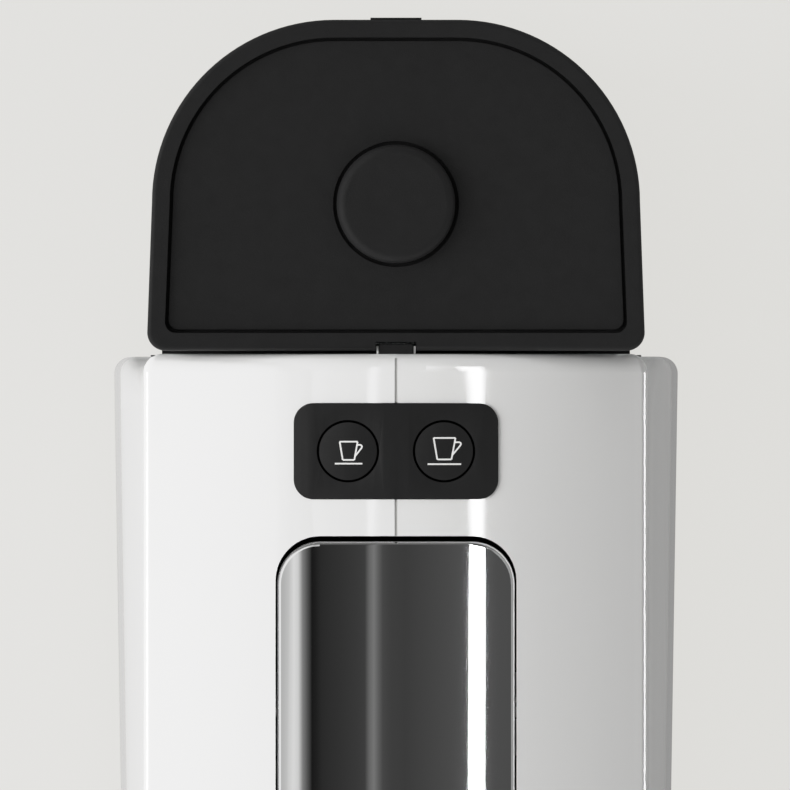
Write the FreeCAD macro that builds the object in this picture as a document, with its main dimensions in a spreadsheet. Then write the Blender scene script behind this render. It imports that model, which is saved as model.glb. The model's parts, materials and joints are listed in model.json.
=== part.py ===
import FreeCAD, Part
import math
import os
from types import SimpleNamespace

import Sketcher

V = FreeCAD.Vector
doc = FreeCAD.newDocument("pod_coffee_machine")

# Driving sizes in millimetres and degrees: name, value, meaning
SIZES = [
    ("machine_depth", 324, "drip tray front to lid tab"),
    ("machine_height", 205, "table to the top of the crown"),
    ("body_width", 110, "across the side panels"),
    ("shell_width", 97, "across the two half shells"),
    ("crown_radius", 140, "curve of the top across the machine"),
    ("wall", 2.5, "shell wall"),
    ("shell_bottom", 10, "lower edge of the shells"),
    ("column_depth", 159.4, "shell rear to column front"),
    ("head_reach", 68, "column front to head front"),
    ("head_depth", 87, "crown to the underside of the head"),
    ("nose_radius", 28, "rounding of the head over the front"),
    ("rear_round", 3.5, "rounding of the rear top edge"),
    ("side_round", 2.0, "rounding of the long top edges"),
    ("seam_gap", 0.5, "width of the line between the shells"),
    ("seam_depth", 1.4, "depth of that line"),
    ("panel_top_drop", 5.5, "side panel top below the shell edge"),
    ("panel_inset", 3.0, "side panel edge inside the shell edge"),
    ("panel_bow_radius", 1600, "upright curve of a side panel"),
    ("panel_bow_level", 108, "widest level of a side panel"),
    ("panel_taper", 0.9, "angle that narrows the panels to the front"),
    ("panel_rear_round", 4.8, "upright rear corner of a side panel"),
    ("foot_height", 2, "feet below the base plate"),
    ("foot_radius", 7, "one foot"),
    ("foot_sink", 1, "foot set into the base plate"),
    ("base_thick", 4, "floor of the base plate"),
    ("skirt", 2.5, "rim under the shell walls"),
    ("tongue_half", 38, "half width of the front of the base plate"),
    ("tongue_end", 12, "base plate front behind the tray front"),
    ("lid_depth", 63.6, "tank lid front to back"),
    ("lid_width", 95.6, "tank lid at its front"),
    ("lid_taper", 0.9, "narrowing of each lid side"),
    ("lid_corner", 35, "rear corner radius of the lid"),
    ("lid_front_corner", 3.5, "front corner radius of the lid"),
    ("lid_thick", 5, "lid plate"),
    ("lid_drop", 8, "underside of the lid plate below the crown"),
    ("lid_rim", 3.4, "border around the lid panel"),
    ("lid_recess", 1.2, "lid panel below its border"),
    ("lid_groove", 0.7, "width of the lines around the lid panel and the knob"),
    ("lid_groove_depth", 1.4, "depth of those lines"),
    ("lid_round", 0.8, "edge of the lid border"),
    ("lid_plug", 8, "lid skirt inside the tank"),
    ("tab_out", 0.4, "lid tab beyond the lid"),
    ("tab_width", 9.8, "lid tab"),
    ("knob_radius", 11.4, "round lid knob"),
    ("knob_height", 3.4, "knob above the lid panel"),
    ("knob_round", 1.7, "edge of the knob"),
    ("knob_offset", 28.2, "knob centre behind the lid front"),
    ("notch_width", 7.8, "catch notch in the lid"),
    ("notch_depth", 1.7, "catch notch from the lid front"),
    ("tank_gap", 0.6, "lid front to shell rear"),
    ("tank_inset", 1.5, "tank wall inside the lid outline"),
    ("tank_wall", 2, "tank wall"),
    ("tank_level", 20, "underside of the tank"),
    ("plug_gap", 0.5, "lid skirt to tank wall"),
    ("valve_offset", 30, "valve axis behind the lid front"),
    ("valve_radius", 9, "tank outlet collar"),
    ("valve_lift", 3, "plunger above its seat"),
    ("fit_gap", 0.06, "running clearance on a radius"),
    ("slide_gap", 0.4, "clearance of sliding parts"),
    ("lever_width", 45.7, "chrome lever"),
    ("lever_gap", 0.3, "lever to shell at each side"),
    ("lever_rear_gap", 1.0, "lever to shell behind"),
    ("lever_setback", 35, "shell rear to lever opening"),
    ("lever_corner", 8.6, "lever corner radius"),
    ("lever_depth", 8, "lever edge height"),
    ("lever_skin", 2.2, "lever cover wall"),
    ("lever_round", 0.9, "lever top edge"),
    ("droop_start", 162.4, "lever opening to the start of the bend"),
    ("droop_radius", 80, "bend of the lever tip"),
    ("droop_angle", 32, "turn of the lever tip"),
    ("pivot_inset", 31.4, "lever rear to its shaft"),
    ("pivot_drop", 11, "shaft below the crown"),
    ("shaft_radius", 3, "lever shaft"),
    ("lever_angle", 88, "full lift of the lever"),
    ("gear_module", 1.25, "tooth size"),
    ("sector_teeth", 32, "teeth on a full sector circle"),
    ("tooth_play", 0.16, "backlash"),
    ("brew_half", 24, "half width between the brew plates"),
    ("plate_thick", 2.5, "brew plate"),
    ("rack_width", 4, "rack and sector face"),
    ("brew_drop", 49, "brew axis below the crown"),
    ("chamber_reach", 58, "shaft to the chamber front"),
    ("chamber_depth", 32, "pod chamber block"),
    ("block_half", 22, "half height of chamber and carriage"),
    ("pod_radius", 15.4, "pod cavity mouth"),
    ("pod_taper", 3.2, "cavity narrower at its bottom"),
    ("pod_length", 27, "cavity depth"),
    ("pod_rim", 1.2, "carriage to chamber when shut"),
    ("carriage_thick", 18, "extraction carriage block"),
    ("pin_radius", 3, "carriage guide pin"),
    ("pin_rise", 8, "guide pins above and below the brew axis"),
    ("chute_drop", 25, "underside of the pod chute below the crown"),
    ("chute_thick", 2.5, "pod chute plate"),
    ("slot_half", 19.2, "half width of the pod slot"),
    ("well_radius", 34, "inside of the lever well"),
    ("spout_offset", 36, "column front to spout axis"),
    ("spout_radius", 7, "spout outside"),
    ("spout_drop", 14, "spout below the head"),
    ("button_setback", 18.7, "shell rear to the button panel centre"),
    ("button_pitch", 18.45, "between the two buttons"),
    ("button_radius", 5.55, "round button"),
    ("button_ring", 0.45, "gap around a button"),
    ("button_travel", 0.9, "press of a button"),
    ("bezel_width", 39.3, "button panel across"),
    ("bezel_depth", 18.5, "button panel front to back"),
    ("bezel_corner", 3.8, "button panel corner"),
    ("bezel_proud", 0.3, "button panel above the crown"),
    ("tray_half", 45, "half width of the drip tray"),
    ("tray_height", 20, "drip tray"),
    ("tray_wall", 2.2, "drip tray wall"),
    ("tray_corner", 30, "front corner of the drip tray"),
    ("grid_thick", 1.6, "cup grid"),
    ("bin_clear", 1.6, "pod bin below the spout"),
    ("bin_depth", 48, "pod bin front to back"),
    ("bin_half", 42, "half width of the pod bin"),
    ("chassis_half", 34, "half width inside the chassis"),
    ("chassis_wall", 3, "chassis wall"),
    ("shelf_thick", 4, "heater shelf"),
    ("heater_height", 30, "thermoblock"),
    ("heater_gap", 6, "thermoblock below the brew plates"),
    ("pump_level", 40, "pump axis above the table"),
    ("pump_side", 10, "pump axis left of the middle"),
    ("barrel_radius", 8, "pump barrel"),
    ("plunger_radius", 5, "pump plunger"),
]


class Size:
    """A length that keeps its value and the expression it comes from."""

    def __init__(self, value, text):
        self.value = float(value)
        self.text = text

    def __float__(self):
        return self.value

    def __add__(self, other):
        other = as_size(other)
        return Size(self.value + other.value, f"({self.text} + {other.text})")

    def __radd__(self, other):
        return as_size(other) + self

    def __sub__(self, other):
        other = as_size(other)
        return Size(self.value - other.value, f"({self.text} - {other.text})")

    def __rsub__(self, other):
        return as_size(other) - self

    def __mul__(self, other):
        other = as_size(other)
        return Size(self.value * other.value, f"({self.text} * {other.text})")

    def __rmul__(self, other):
        return as_size(other) * self

    def __truediv__(self, other):
        other = as_size(other)
        return Size(self.value / other.value, f"({self.text} / {other.text})")

    def __neg__(self):
        return Size(-self.value, f"(0 - {self.text})")


def as_size(number):
    """Give a plain number the form of a size."""
    if isinstance(number, Size):
        return number
    return Size(number, f"{float(number):.9g}" if number >= 0 else f"(0 - {-float(number):.9g})")


def root(size):
    """Square root of a size."""
    return Size(math.sqrt(size.value), f"sqrt({size.text})")


def read_sheet():
    """Write the driving sizes to a sheet and read them back as sizes."""
    sheet = doc.addObject("Spreadsheet::Sheet", "sizes")
    for row, (name, value, meaning) in enumerate(SIZES, 1):
        sheet.set(f"A{row}", name)
        sheet.set(f"B{row}", str(value))
        sheet.set(f"C{row}", meaning)
        sheet.setAlias(f"B{row}", name)
    doc.recompute()
    return SimpleNamespace(**{name: Size(sheet.get(name), f"sizes.{name}") for name, _, _ in SIZES})


s = read_sheet()

# Places that follow from the driving sizes
s.rear = s.machine_depth / 2
s.front = -s.rear
s.lid_rear = s.rear - s.tab_out
s.lid_front = s.lid_rear - s.lid_depth
s.lid_level = s.machine_height - s.lid_drop
s.lid_top = s.lid_level + s.lid_thick
s.valve_y = s.lid_front + s.valve_offset
s.shell_rear = s.lid_front - s.tank_gap
s.shell_half = s.shell_width / 2
s.shell_inner = s.shell_half - s.wall
s.column_front = s.shell_rear - s.column_depth
s.head_front = s.column_front - s.head_reach
s.crown_axis = s.machine_height - s.crown_radius
s.head_level = s.machine_height - s.head_depth
s.chute_level = s.machine_height - s.chute_drop
s.nose_y = s.head_front + s.nose_radius
s.nose_z = s.machine_height - s.nose_radius
s.floor = s.foot_height + s.base_thick
s.opening_rear = s.shell_rear - s.lever_setback
s.opening_half = s.lever_width / 2 + s.lever_gap
s.lever_rear = s.opening_rear - s.lever_rear_gap
s.lever_half = s.lever_width / 2
s.droop_y = s.opening_rear - s.droop_start
s.pivot_y = s.lever_rear - s.pivot_inset
s.pivot_z = s.machine_height - s.pivot_drop
s.sector_pitch = s.gear_module * s.sector_teeth / 2
s.rack_z = s.pivot_z - s.sector_pitch
s.travel = s.sector_pitch * s.lever_angle * (math.pi / 180)
s.brew_z = s.machine_height - s.brew_drop
s.block_low = s.brew_z - s.block_half
s.block_high = s.brew_z + s.block_half
s.chamber_front = s.pivot_y - s.chamber_reach
s.chamber_back = s.chamber_front + s.chamber_depth
s.press_face = s.chamber_front - s.pod_rim
s.carriage_front = s.press_face - s.carriage_thick
s.pin_y = s.press_face - s.carriage_thick / 2
s.plate_out = s.brew_half + s.plate_thick
s.plate_low = s.block_low - 6
s.plate_high = s.pivot_z + 3.5
s.rack_in = s.plate_out + 0.5
s.rack_out = s.rack_in + s.rack_width
s.spout_y = s.column_front - s.spout_offset
s.button_y = s.shell_rear - s.button_setback
s.button_x = s.button_pitch / 2
s.bezel_low = s.machine_height - s.wall - 3.1
s.tray_low = s.floor + s.slide_gap
s.tray_rear = s.column_front - 2
s.tray_top = s.tray_low + s.tray_height
s.bin_rear = s.column_front + s.bin_depth
s.bin_top = s.head_level - s.spout_drop - s.bin_clear
s.apron_low = s.bin_top + s.bin_clear
s.heater_top = s.plate_low - s.heater_gap
s.shelf_top = s.heater_top - s.heater_height
s.shelf_level = s.shelf_top - s.shelf_thick
s.chassis_top = s.plate_low - 4
s.chassis_front = s.bin_rear + 8
s.chassis_rear = s.chassis_front + 76
s.pump_y = s.shell_rear - 59.4

NODES = {}


def node(label, thing):
    """Give a finished sub-part its name."""
    thing.Label = label
    NODES[label] = thing
    return thing


def bind(thing, prop, size):
    """Tie one property to the expression of a size."""
    thing.setExpression(prop, as_size(size).text)


def new_body(name):
    """Start a body with its own features."""
    return doc.addObject("PartDesign::Body", name)


PLANES = {"Z": "XY_Plane", "Y": "XZ_Plane", "X": "YZ_Plane"}


def new_sketch(body, axis, level, origin=(0, 0)):
    """Put a sketch square to an axis at a level, with its origin where asked."""
    sketch = body.newObject("Sketcher::SketchObject", "outline")
    plane = next(f for f in body.Origin.OriginFeatures if f.Role == PLANES[axis])
    sketch.AttachmentSupport = [(plane, "")]
    sketch.MapMode = "FlatFace"
    bind(sketch, "AttachmentOffset.Base.x", origin[0])
    bind(sketch, "AttachmentOffset.Base.y", origin[1])
    bind(sketch, "AttachmentOffset.Base.z", -as_size(level) if axis == "Y" else level)
    return sketch


def pin_point(sketch, geo, pos, u, v):
    """Hold a sketch point at two sizes from the origin."""
    for kind, size in (("DistanceX", u), ("DistanceY", v)):
        size = as_size(size)
        index = sketch.addConstraint(Sketcher.Constraint(kind, -1, 1, geo, pos, size.value))
        bind(sketch, f"Constraints[{index}]", size)


def draw(sketch, points):
    """Draw a closed outline; a third value is the radius of the arc that ends at that point."""
    if all(abs(float(a) - float(b)) < 1e-9 for a, b in zip(points[0][:2], points[-1][:2])):
        points = points[1:]
    ends = []
    for last, here in zip([points[-1]] + points[:-1], points):
        start = V(float(last[0]), float(last[1]), 0)
        end = V(float(here[0]), float(here[1]), 0)
        if len(here) == 2:
            geo = sketch.addGeometry(Part.LineSegment(start, end), False)
            ends.append((geo, 1, 2))
            continue
        radius = float(here[2])
        first, second = (start, end) if radius > 0 else (end, start)
        middle = (first + second) / 2
        across = second - first
        left = V(-across.y, across.x, 0) / across.Length
        rise = math.sqrt(max(radius * radius - across.Length ** 2 / 4, 0))
        geo = sketch.addGeometry(Part.Arc(first, middle - left * (abs(radius) - rise), second), False)
        ends.append((geo, 1, 2) if radius > 0 else (geo, 2, 1))
    for index, (geo, _, stop) in enumerate(ends):
        after = ends[(index + 1) % len(ends)]
        sketch.addConstraint(Sketcher.Constraint("Coincident", geo, stop, after[0], after[1]))
        pin_point(sketch, geo, stop, points[index][0], points[index][1])
        if len(points[index]) == 3:
            size = as_size(points[index][2])
            size = size if size.value > 0 else -size
            place = sketch.addConstraint(Sketcher.Constraint("Radius", geo, size.value))
            bind(sketch, f"Constraints[{place}]", size)


def draw_circle(sketch, u, v, radius):
    """Draw a circle at two sizes from the origin."""
    radius = as_size(radius)
    middle = V(float(as_size(u)), float(as_size(v)), 0)
    geo = sketch.addGeometry(Part.Circle(middle, V(0, 0, 1), radius.value), False)
    pin_point(sketch, geo, 3, u, v)
    place = sketch.addConstraint(Sketcher.Constraint("Radius", geo, radius.value))
    bind(sketch, f"Constraints[{place}]", radius)


def fill_sketch(sketch, shapes):
    """Draw outlines (lists) and circles (tuples) in one sketch."""
    for shape in shapes:
        if isinstance(shape, tuple):
            draw_circle(sketch, *shape)
        else:
            draw(sketch, shape)


def add(body, axis, low, high, *shapes, origin=(0, 0)):
    """Add a prism along an axis from low to high."""
    sketch = new_sketch(body, axis, high if axis == "Y" else low, origin)
    fill_sketch(sketch, shapes)
    pad = body.newObject("PartDesign::Pad", "pad")
    pad.Profile = sketch
    bind(pad, "Length", as_size(high) - low)
    return pad


def take(body, axis, low, high, *shapes, origin=(0, 0)):
    """Cut a prism along an axis from low to high."""
    sketch = new_sketch(body, axis, low if axis == "Y" else high, origin)
    fill_sketch(sketch, shapes)
    pocket = body.newObject("PartDesign::Pocket", "pocket")
    pocket.Profile = sketch
    bind(pocket, "Length", as_size(high) - low)
    return pocket


def turn(body, kind, axis, level, points, ends, angle):
    """Revolve an outline about a line between two sketch points."""
    sketch = new_sketch(body, axis, level)
    draw(sketch, points)
    start, end = [V(float(as_size(u)), float(as_size(v)), 0) for u, v in ends]
    line = sketch.addGeometry(Part.LineSegment(start, end), True)
    pin_point(sketch, line, 1, *ends[0])
    pin_point(sketch, line, 2, *ends[1])
    feature = body.newObject(kind, "turn")
    feature.Profile = sketch
    feature.ReferenceAxis = (sketch, ["Axis0"])
    bind(feature, "Angle", angle)
    return feature


def add_turn(body, axis, level, points, ends, angle=360):
    """Add a revolved solid."""
    return turn(body, "PartDesign::Revolution", axis, level, points, ends, angle)


def take_turn(body, axis, level, points, ends, angle=360):
    """Cut a revolved solid."""
    return turn(body, "PartDesign::Groove", axis, level, points, ends, angle)


def round_edges(body, radius, wanted):
    """Round the edges that a test picks out."""
    doc.recompute()
    last = body.Tip
    names = [f"Edge{i}" for i, edge in enumerate(last.Shape.Edges, 1) if wanted(edge)]
    fillet = body.newObject("PartDesign::Fillet", "round")
    fillet.Base = (last, names)
    bind(fillet, "Radius", radius)
    return fillet


def in_plane(edge, axis, level, slack=0.01):
    """True when an edge lies at one level along an axis."""
    box = edge.BoundBox
    low, high = {"X": (box.XMin, box.XMax), "Y": (box.YMin, box.YMax), "Z": (box.ZMin, box.ZMax)}[axis]
    return abs(low - float(level)) < slack and abs(high - float(level)) < slack


def rect(u0, u1, v0, v1):
    """Corners of a rectangle."""
    return [(u0, v0), (u1, v0), (u1, v1), (u0, v1)]


def round_rect(u0, u1, v0, v1, r):
    """Corners of a rectangle with round corners."""
    return [(u0 + r, v0), (u1 - r, v0), (u1, v0 + r, r), (u1, v1 - r), (u1 - r, v1, r),
            (u0 + r, v1), (u0, v1 - r, r), (u0, v0 + r), (u0 + r, v0, r)]


def slot(u0, u1, v, r):
    """Outline of a slot with round ends about two centres."""
    return [(u0, v - r), (u1, v - r), (u1 + r, v, r), (u1, v + r, r),
            (u0, v + r), (u0 - r, v, r), (u0, v - r, r)]


def mirrored(points, side):
    """Swap an outline to the other side of the middle plane."""
    return [(side * p[0], p[1]) + ((side * p[2],) if len(p) == 3 else ()) for p in points]


def block(name, x0, x1, y0, y1, z0, z1):
    """A plain box between three pairs of levels."""
    box = doc.addObject("Part::Box", name)
    for prop, low, high in (("Length", x0, x1), ("Width", y0, y1), ("Height", z0, z1)):
        bind(box, prop, as_size(high) - low)
    for axis, low in zip("xyz", (x0, y0, z0)):
        bind(box, f"Placement.Base.{axis}", low)
    return box


def rod(name, axis, u, v, low, high, radius):
    """A cylinder along an axis; u and v are its other two coordinates in order."""
    cylinder = doc.addObject("Part::Cylinder", name)
    turns = {"X": FreeCAD.Rotation(V(0, 1, 0), 90), "Y": FreeCAD.Rotation(V(1, 0, 0), -90),
             "Z": FreeCAD.Rotation()}
    cylinder.Placement = FreeCAD.Placement(V(0, 0, 0), turns[axis])
    base = {"X": (low, u, v), "Y": (u, low, v), "Z": (u, v, low)}[axis]
    for letter, size in zip("xyz", base):
        bind(cylinder, f"Placement.Base.{letter}", size)
    bind(cylinder, "Radius", radius)
    bind(cylinder, "Height", as_size(high) - low)
    return cylinder


def fused(name, parts):
    """One solid from several that touch."""
    thing = doc.addObject("Part::MultiFuse", name)
    thing.Shapes = parts
    return thing


def grouped(name, parts):
    """Several separate solids kept together."""
    thing = doc.addObject("Part::Compound", name)
    thing.Links = parts
    return thing


def crown_at(x, lift=0):
    """Height of the crown, raised by a lift, at a distance from the middle."""
    radius = s.crown_radius + lift
    x = as_size(x)
    return s.crown_axis + root(radius * radius - x * x)


def above_crown(half, lift):
    """Outline of everything above the lifted crown."""
    radius = s.crown_radius + lift
    top = s.machine_height + 12
    edge = crown_at(half, lift)
    return [(-half, top), (-half, edge), (half, edge, -radius), (half, top)]


def tank_outline(inset):
    """Outline of the lid and tank, moved inward."""
    front = s.lid_front + inset
    rear = s.lid_rear - inset
    wide = s.lid_width / 2 - inset
    narrow = wide - s.lid_taper
    corner = s.lid_corner - inset
    small = s.lid_front_corner - as_size(inset) * 0.4
    return [(-wide + small, front), (wide - small, front), (wide, front + small, small),
            (narrow, rear - corner), (narrow - corner, rear, corner), (corner - narrow, rear),
            (-narrow, rear - corner, corner), (-wide, front + small), (-wide + small, front, small)]


# Housing

def shell_section(half, lift, low, side):
    """Half of the crowned cross-section down to a level."""
    points = [(0, low), (half, low), (half, crown_at(half, lift)),
              (0, s.machine_height + lift, s.crown_radius + lift)]
    return mirrored(points, side)


def nose_plan(half, lift, side):
    """Half plan of the head in front of the nose axis."""
    reach = s.nose_y - (crown_at(half, lift) - s.nose_z)
    points = [(0, s.nose_y), (half, s.nose_y), (half, reach),
              (0, s.head_front - lift, -s.crown_radius - lift)]
    return mirrored(points, side)


def half_shell(label, side):
    """One white half: crowned top, side wall, nose and rear wall."""
    body = new_body(label)
    half, inner, lift = s.shell_half, s.shell_inner, -s.wall
    axis = ((-1, s.nose_z), (1, s.nose_z))
    add(body, "Y", s.nose_y, s.shell_rear, shell_section(half, 0, s.head_level, side))
    add(body, "Y", s.column_front, s.shell_rear,
        mirrored(rect(0, half, s.shell_bottom, s.head_level), side))
    add_turn(body, "Y", s.nose_y, shell_section(half, 0, s.nose_z, side), axis, 90)
    add(body, "Z", s.head_level, s.nose_z, nose_plan(half, 0, side))
    round_edges(body, s.side_round, lambda e: in_plane(e, "X", side * s.shell_half)
                and e.BoundBox.ZMax > float(s.head_level) + 5 and e.BoundBox.YMin < float(s.shell_rear) - 1
                and not in_plane(e, "Z", s.head_level) and not in_plane(e, "Y", s.column_front))
    round_edges(body, s.rear_round, lambda e: in_plane(e, "Y", s.shell_rear)
                and e.BoundBox.ZMin > float(crown_at(half)) - 3 and e.BoundBox.XLength > 5)
    take(body, "Y", s.nose_y, s.shell_rear - s.wall, shell_section(inner, lift, s.shell_bottom - 1, side))
    take_turn(body, "Y", s.nose_y, shell_section(inner, lift, s.nose_z, side), axis, 90)
    take(body, "Z", s.head_level - 1, s.nose_z, nose_plan(inner, lift, side))
    lever_hole = [(0, s.head_front - 9), (s.opening_half, s.head_front - 9),
                  (s.opening_half, s.opening_rear - s.lever_corner),
                  (s.opening_half - s.lever_corner, s.opening_rear, s.lever_corner), (0, s.opening_rear)]
    take(body, "Z", s.chute_level - 4, s.machine_height + 1, mirrored(lever_hole, side))
    wide, corner = s.bezel_width / 2, s.bezel_corner
    low, high = s.button_y - s.bezel_depth / 2, s.button_y + s.bezel_depth / 2
    bezel_hole = [(0, low), (wide - corner, low), (wide, low + corner, corner), (wide, high - corner),
                  (wide - corner, high, corner), (0, high)]
    take(body, "Z", s.bezel_low, s.machine_height + 1, mirrored(bezel_hole, side))
    take(body, "Y", s.opening_rear - 1, s.shell_rear + 1,
         mirrored(rect(0, s.seam_gap / 2, s.machine_height - s.seam_depth, s.machine_height + 1), side))
    take(body, "Y", s.shell_rear - s.wall - 1, s.shell_rear + 1,
         mirrored(rect(0, 9, s.shell_bottom - 1, s.tank_level), side))
    rib = s.notch_width / 2 - 0.15
    add(body, "Y", s.shell_rear - 1, s.shell_rear + s.tank_gap + 0.9,
        mirrored(rect(rib - 0.37, rib, s.lid_level - 2, s.lid_top - 1), side))
    return node(label, body)


def side_panel(label, side):
    """A bowed outer panel that narrows to the front."""
    body = new_body("panel_profile")
    rear = s.shell_rear - 0.5
    front = s.nose_y - (crown_at(s.shell_half) - s.nose_z) + s.panel_inset
    top = crown_at(s.shell_half) - s.panel_top_drop
    low, column, head = s.shell_bottom + 1, s.column_front + s.panel_inset, s.head_level + s.panel_inset
    outline = [(rear, low + 6), (rear, top - 10), (rear - 10, top, 10), (front + 16, top),
               (front, top - 16, 16), (front, head + 8), (front + 8, head, 8), (column - 18, head),
               (column, head - 18, -18), (column, low + 6), (column + 6, low, 6), (rear - 6, low),
               (rear, low + 6, 6)]
    outside, inside = s.body_width / 2 + 1, s.shell_half
    low_x, high_x = (inside, outside) if side > 0 else (-outside, -inside)
    add(body, "X", low_x, high_x, outline)
    r = s.panel_rear_round
    edge = s.body_width / 2
    corner = [(edge + 2, rear - r), (edge + 2, rear + 1), (edge - r, rear + 1), (edge - r, rear),
              (edge, rear - r, -r)]
    take(body, "Z", low - 1, top + 1, mirrored(corner, side))
    bow = doc.addObject("Part::Cylinder", "panel_bow")
    lean = math.radians(float(s.panel_taper))
    along = V(-side * math.sin(lean), -math.cos(lean), 0)
    bow.Placement = FreeCAD.Placement(V(), FreeCAD.Rotation(V(0, 0, 1), along))
    bind(bow, "Placement.Base.x", side * (s.body_width / 2 - s.panel_bow_radius * math.cos(lean)))
    bind(bow, "Placement.Base.y", s.shell_rear + 1 + s.panel_bow_radius * math.sin(lean))
    bind(bow, "Placement.Base.z", s.panel_bow_level)
    bind(bow, "Radius", s.panel_bow_radius)
    bind(bow, "Height", s.machine_depth)
    panel = doc.addObject("Part::Common", label)
    panel.Base = body
    panel.Tool = bow
    return node(label, panel)


def base_plate():
    """Floor with skirt, pump cradles, tank end and front tongue."""
    body = new_body("base_plate")
    low = s.foot_height
    add(body, "Z", low, s.floor, rect(-s.shell_half, s.shell_half, s.column_front, s.shell_rear))
    add(body, "Z", low, s.floor, tank_outline(s.tank_inset))
    bridge = s.lid_width / 2 - s.tank_inset
    add(body, "Z", low, s.floor, rect(-bridge, bridge, s.shell_rear - 1, s.lid_front + 4))
    add(body, "Z", low, s.floor,
        rect(-s.tongue_half, s.tongue_half, s.front + s.tongue_end, s.column_front + 1))
    for side in (-1, 1):
        edge = [(s.shell_half - s.skirt, s.column_front), (s.shell_half, s.column_front),
                (s.shell_half, s.shell_rear), (10, s.shell_rear), (10, s.shell_rear - s.skirt),
                (s.shell_half - s.skirt, s.shell_rear - s.skirt)]
        add(body, "Z", s.floor, s.shell_bottom, mirrored(edge, side))
    for y in mount_places():
        add(body, "Y", y, y + 6, rect(-s.pump_side - 10, -s.pump_side + 10, s.floor - 1, s.pump_level - 4))
        take(body, "Y", y - 1, y + 7, (-s.pump_side, s.pump_level, s.barrel_radius + 5))
    for x, y in foot_places():
        take(body, "Z", low - 1, low + s.foot_sink, (x, y, s.foot_radius))
    for x, y in screw_places():
        take(body, "Z", low - 1, low + 2, (x, y, 3.6))
        take(body, "Z", low + 1, s.floor + 1, (x, y, 1.6))
    return node("base_plate", body)


def foot_places():
    """Where the four feet stand."""
    return [(28 * side, y) for y in (s.front + s.tongue_end + 14, s.rear - 20) for side in (-1, 1)]


def screw_places():
    """Where the base screws enter."""
    return [(40 * side, y) for y in (s.column_front + 12, s.shell_rear - 12) for side in (-1, 1)]


def mount_places():
    """Front faces of the two rubber rings of the pump."""
    return [s.pump_y - 25, s.pump_y + 19]


def foot_pads():
    """Four rubber discs."""
    pads = [rod("foot", "Z", x, y, 0, s.foot_height + s.foot_sink, s.foot_radius) for x, y in foot_places()]
    return node("foot_pads", grouped("foot_pads", pads))


def screws():
    """Base screws and the screws that hold the chamber between the brew plates."""
    low = s.foot_height
    made = []
    for x, y in screw_places():
        head = rod("head", "Z", x, y, low + 0.4, low + 2, 3.5)
        made.append(fused("screw", [head, rod("shank", "Z", x, y, low + 1, s.floor, 1.5)]))
    for side in (-1, 1):
        for y in (s.chamber_front + 6, s.chamber_back - 6):
            z = s.block_low + 5
            ends = [s.plate_out, s.plate_out + 2] if side > 0 else [-s.plate_out - 2, -s.plate_out]
            head = rod("head", "X", y, z, ends[0], ends[1], 3)
            inner = [s.brew_half - 6, s.plate_out + 1] if side > 0 else [-s.plate_out - 1, -s.brew_half + 6]
            made.append(fused("screw", [head, rod("shank", "X", y, z, inner[0], inner[1], 1.5)]))
    return node("screws", grouped("screws", made))


def head_floor():
    """Black underside of the head with posts for the brew plates and an apron over the pod bin."""
    body = new_body("head_floor")
    half = s.shell_inner - 0.2
    lift = -s.wall - 0.2
    reach = s.nose_y - (crown_at(half, lift) - s.nose_z)
    outline = [(half, s.column_front + 1), (-half, s.column_front + 1), (-half, reach),
               (half, reach, s.crown_radius + lift)]
    add(body, "Z", s.head_level, s.head_level + 3, outline, (0, s.spout_y, s.spout_radius))
    front, rear = s.carriage_front - 36, s.carriage_front - 28
    for side in (-1, 1):
        post = mirrored(rect(s.brew_half - 0.5, s.plate_out + 0.5, front, rear), side)
        add(body, "Z", s.head_level + 3, s.plate_low, post)
    add(body, "Z", s.apron_low, s.head_level + 1, rect(-half, half, s.tray_rear, s.column_front + 1))
    return node("head_floor", body)


def coffee_spout():
    """Trough over the head floor and the spout below it."""
    body = new_body("coffee_spout")
    low = s.head_level + 3
    front, back = s.carriage_front - s.travel - 42, s.carriage_front - 28.8
    add(body, "Z", low, low + 12, rect(-9, 9, front, back))
    take(body, "Z", low + 1.5, low + 13, rect(-7.4, 7.4, front + 1.6, back - 1.6))
    add(body, "Z", s.head_level - s.spout_drop, low + 1, (0, s.spout_y, s.spout_radius))
    take(body, "Z", s.head_level - s.spout_drop - 1, low + 2, (0, s.spout_y, 4))
    return node("coffee_spout", body)


def pod_chute():
    """Black plate under the lever with the pod slot."""
    body = new_body("pod_chute")
    high = s.chute_level + s.chute_thick
    front = s.head_front + 5.8
    slot = round_rect(-s.slot_half, s.slot_half, s.press_face - s.travel, s.press_face, 3)
    add(body, "Z", s.chute_level, high, rect(-s.brew_half, s.brew_half, front, s.pivot_y - 10), slot)
    add(body, "Z", s.chute_level - 10, high, rect(-s.opening_half, s.opening_half, front, front + 2))
    return node("pod_chute", body)


def lever_well():
    """Curved trough that the rear of the lever turns into."""
    body = new_body("lever_well")
    inside, outside = s.well_radius, s.well_radius + 2

    def at(radius, angle):
        turned = math.radians(angle)
        return s.pivot_y + radius * math.cos(turned), s.pivot_z + radius * math.sin(turned)

    outline = [at(inside, -80), at(outside, -80), at(outside, 6) + (outside,), at(inside, 6),
               at(inside, -80) + (-inside,)]
    add(body, "X", -s.brew_half, s.brew_half, outline)
    return node("lever_well", body)


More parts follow.
